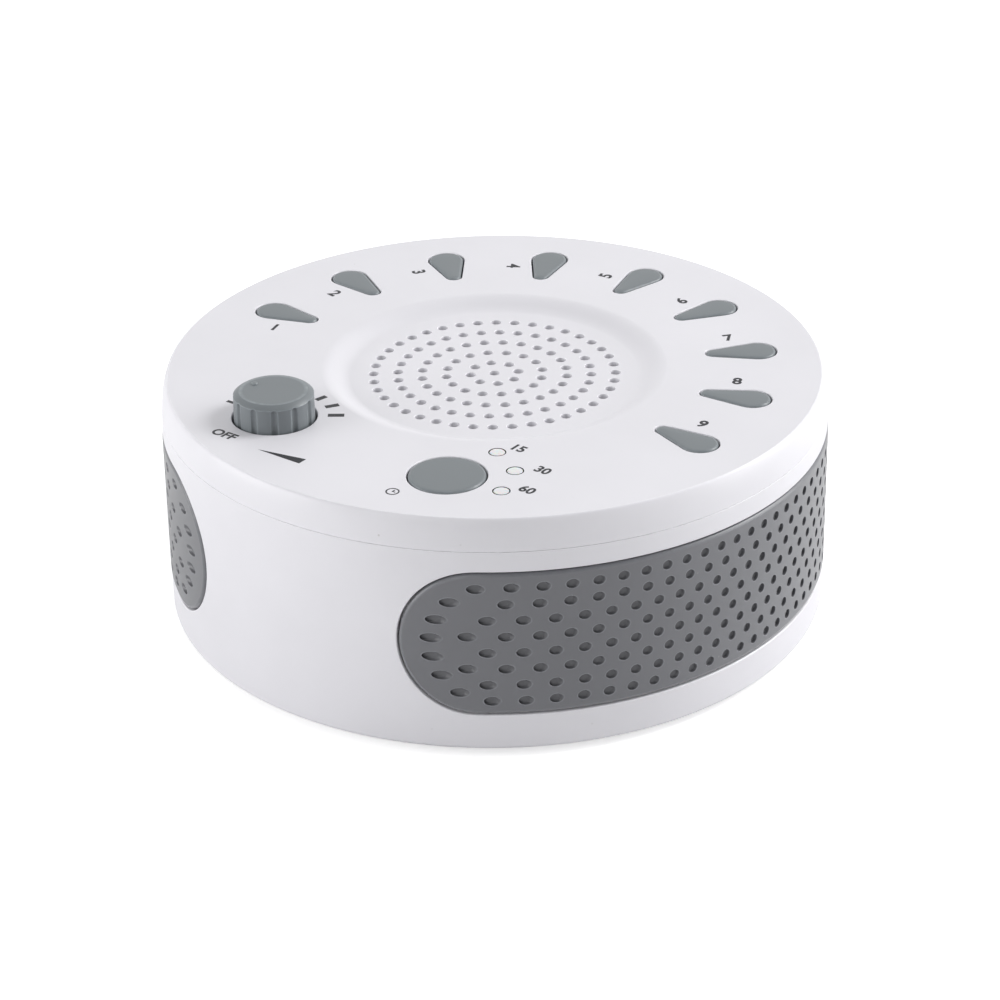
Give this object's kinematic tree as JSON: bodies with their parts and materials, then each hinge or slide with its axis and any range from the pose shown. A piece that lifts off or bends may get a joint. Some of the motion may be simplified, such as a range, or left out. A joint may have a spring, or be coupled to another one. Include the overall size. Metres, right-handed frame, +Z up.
{
  "type": "white noise machine",
  "caption": "Round table-top white noise machine: dished speaker grille, ring of teardrop sound buttons, timer button, volume knob, dimpled side grips.",
  "frame": {"origin": "centre of the case on the plane that its feet stand on", "axes": "+Z up out of the speaker grille, front with the knob and the timer button towards -Y, supply inlet towards +Y"},
  "size_m": [0.1464, 0.146, 0.0614],
  "materials": {
    "case_white": "fine satin grain",
    "trim_grey": "satin",
    "grip_grey": "matte",
    "light_white": "frosted",
    "plunger_white": "moulded",
    "board_green": "solder mask",
    "black_plastic": "moulded",
    "steel": "plated",
    "magnet_grey": "sintered",
    "cone_paper": "pressed paper",
    "spider_cloth": "resin cloth",
    "copper": "enamelled wire",
    "foam_black": "foam",
    "dust_cloth": "woven cloth",
    "terminal_brown": "pressed board",
    "header_cream": "moulded",
    "led_clear": "clear resin",
    "can_blue": "sleeved can",
    "lead_red": "soft sleeve",
    "lead_black": "soft sleeve",
    "foot_rubber": "matte"
  },
  "bodies": {
    "case": {"top_cover": "case_white", "lower_housing": "case_white", "left_grip": "grip_grey", "right_grip": "grip_grey", "potentiometer": "black_plastic", "control_board": "board_green", "tact_switches": "black_plastic", "timer_light_pipes": "light_white", "timer_leds": "led_clear", "dust_cloth": "dust_cloth", "speaker_basket": "steel", "speaker_surround": "foam_black", "speaker_spider": "spider_cloth", "speaker_top_plate": "steel", "speaker_magnet": "magnet_grey", "speaker_yoke": "steel", "speaker_gasket": "foam_black", "speaker_terminals": "terminal_brown", "speaker_screws": "steel", "battery_springs": "steel", "battery_plates": "steel", "dc_jack": "black_plastic", "power_board": "board_green", "amplifier_chip": "black_plastic", "sound_chip": "black_plastic", "capacitors": "can_blue", "lead_connectors": "header_cream", "speaker_leads": "lead_red", "battery_leads": "lead_red", "power_leads": "lead_black", "rubber_feet": "foot_rubber", "case_screws": "steel", "board_screws": "steel"},
    "sound_button_1": {"sound_button_1": "trim_grey", "switch_plunger_1": "plunger_white"},
    "sound_button_2": {"sound_button_2": "trim_grey", "switch_plunger_2": "plunger_white"},
    "sound_button_3": {"sound_button_3": "trim_grey", "switch_plunger_3": "plunger_white"},
    "sound_button_4": {"sound_button_4": "trim_grey", "switch_plunger_4": "plunger_white"},
    "sound_button_5": {"sound_button_5": "trim_grey", "switch_plunger_5": "plunger_white"},
    "sound_button_6": {"sound_button_6": "trim_grey", "switch_plunger_6": "plunger_white"},
    "sound_button_7": {"sound_button_7": "trim_grey", "switch_plunger_7": "plunger_white"},
    "sound_button_8": {"sound_button_8": "trim_grey", "switch_plunger_8": "plunger_white"},
    "sound_button_9": {"sound_button_9": "trim_grey", "switch_plunger_9": "plunger_white"},
    "timer_button": {"timer_button": "trim_grey", "timer_switch_plunger": "plunger_white"},
    "volume_knob": {"volume_knob": "trim_grey", "pot_shaft": "steel"},
    "battery_door": {"battery_door": "case_white"},
    "speaker_cone": {"speaker_cone": "cone_paper", "voice_coil": "copper", "speaker_dust_cap": "cone_paper"}
  },
  "joints": [
    {"name": "sound_button_1_press", "type": "slide", "parent": "case", "child": "sound_button_1", "axis": [0, 0, -1], "range_m": [0, 0.0006], "stiffness_N_per_m": 800, "springref_m": -0.0005},
    {"name": "sound_button_2_press", "type": "slide", "parent": "case", "child": "sound_button_2", "axis": [0, 0, -1], "range_m": [0, 0.0006], "stiffness_N_per_m": 800, "springref_m": -0.0005},
    {"name": "sound_button_3_press", "type": "slide", "parent": "case", "child": "sound_button_3", "axis": [0, 0, -1], "range_m": [0, 0.0006], "stiffness_N_per_m": 800, "springref_m": -0.0005},
    {"name": "sound_button_4_press", "type": "slide", "parent": "case", "child": "sound_button_4", "axis": [0, 0, -1], "range_m": [0, 0.0006], "stiffness_N_per_m": 800, "springref_m": -0.0005},
    {"name": "sound_button_5_press", "type": "slide", "parent": "case", "child": "sound_button_5", "axis": [0, 0, -1], "range_m": [0, 0.0006], "stiffness_N_per_m": 800, "springref_m": -0.0005},
    {"name": "sound_button_6_press", "type": "slide", "parent": "case", "child": "sound_button_6", "axis": [0, 0, -1], "range_m": [0, 0.0006], "stiffness_N_per_m": 800, "springref_m": -0.0005},
    {"name": "sound_button_7_press", "type": "slide", "parent": "case", "child": "sound_button_7", "axis": [0, 0, -1], "range_m": [0, 0.0006], "stiffness_N_per_m": 800, "springref_m": -0.0005},
    {"name": "sound_button_8_press", "type": "slide", "parent": "case", "child": "sound_button_8", "axis": [0, 0, -1], "range_m": [0, 0.0006], "stiffness_N_per_m": 800, "springref_m": -0.0005},
    {"name": "sound_button_9_press", "type": "slide", "parent": "case", "child": "sound_button_9", "axis": [0, 0, -1], "range_m": [0, 0.0006], "stiffness_N_per_m": 800, "springref_m": -0.0005},
    {"name": "timer_button_press", "type": "slide", "parent": "case", "child": "timer_button", "axis": [0, 0, -1], "range_m": [0, 0.0006], "stiffness_N_per_m": 800, "springref_m": -0.0005},
    {"name": "volume_turn", "type": "hinge", "parent": "case", "child": "volume_knob", "pos_m": [-0.02285, -0.04727, 0.055], "axis": [0, 0, 1], "range_deg": [-142, 77]},
    {"name": "battery_door_hinge", "type": "hinge", "parent": "case", "child": "battery_door", "pos_m": [0, 0.0285, 0.0031], "axis": [1, 0, 0], "range_deg": [0, 90]},
    {"name": "speaker_cone_stroke", "type": "slide", "parent": "case", "child": "speaker_cone", "axis": [0, 0, 1], "range_m": [-0.0008, 0.0008], "stiffness_N_per_m": 1500, "deforming": ["speaker_surround", "speaker_spider"]}
  ]
}
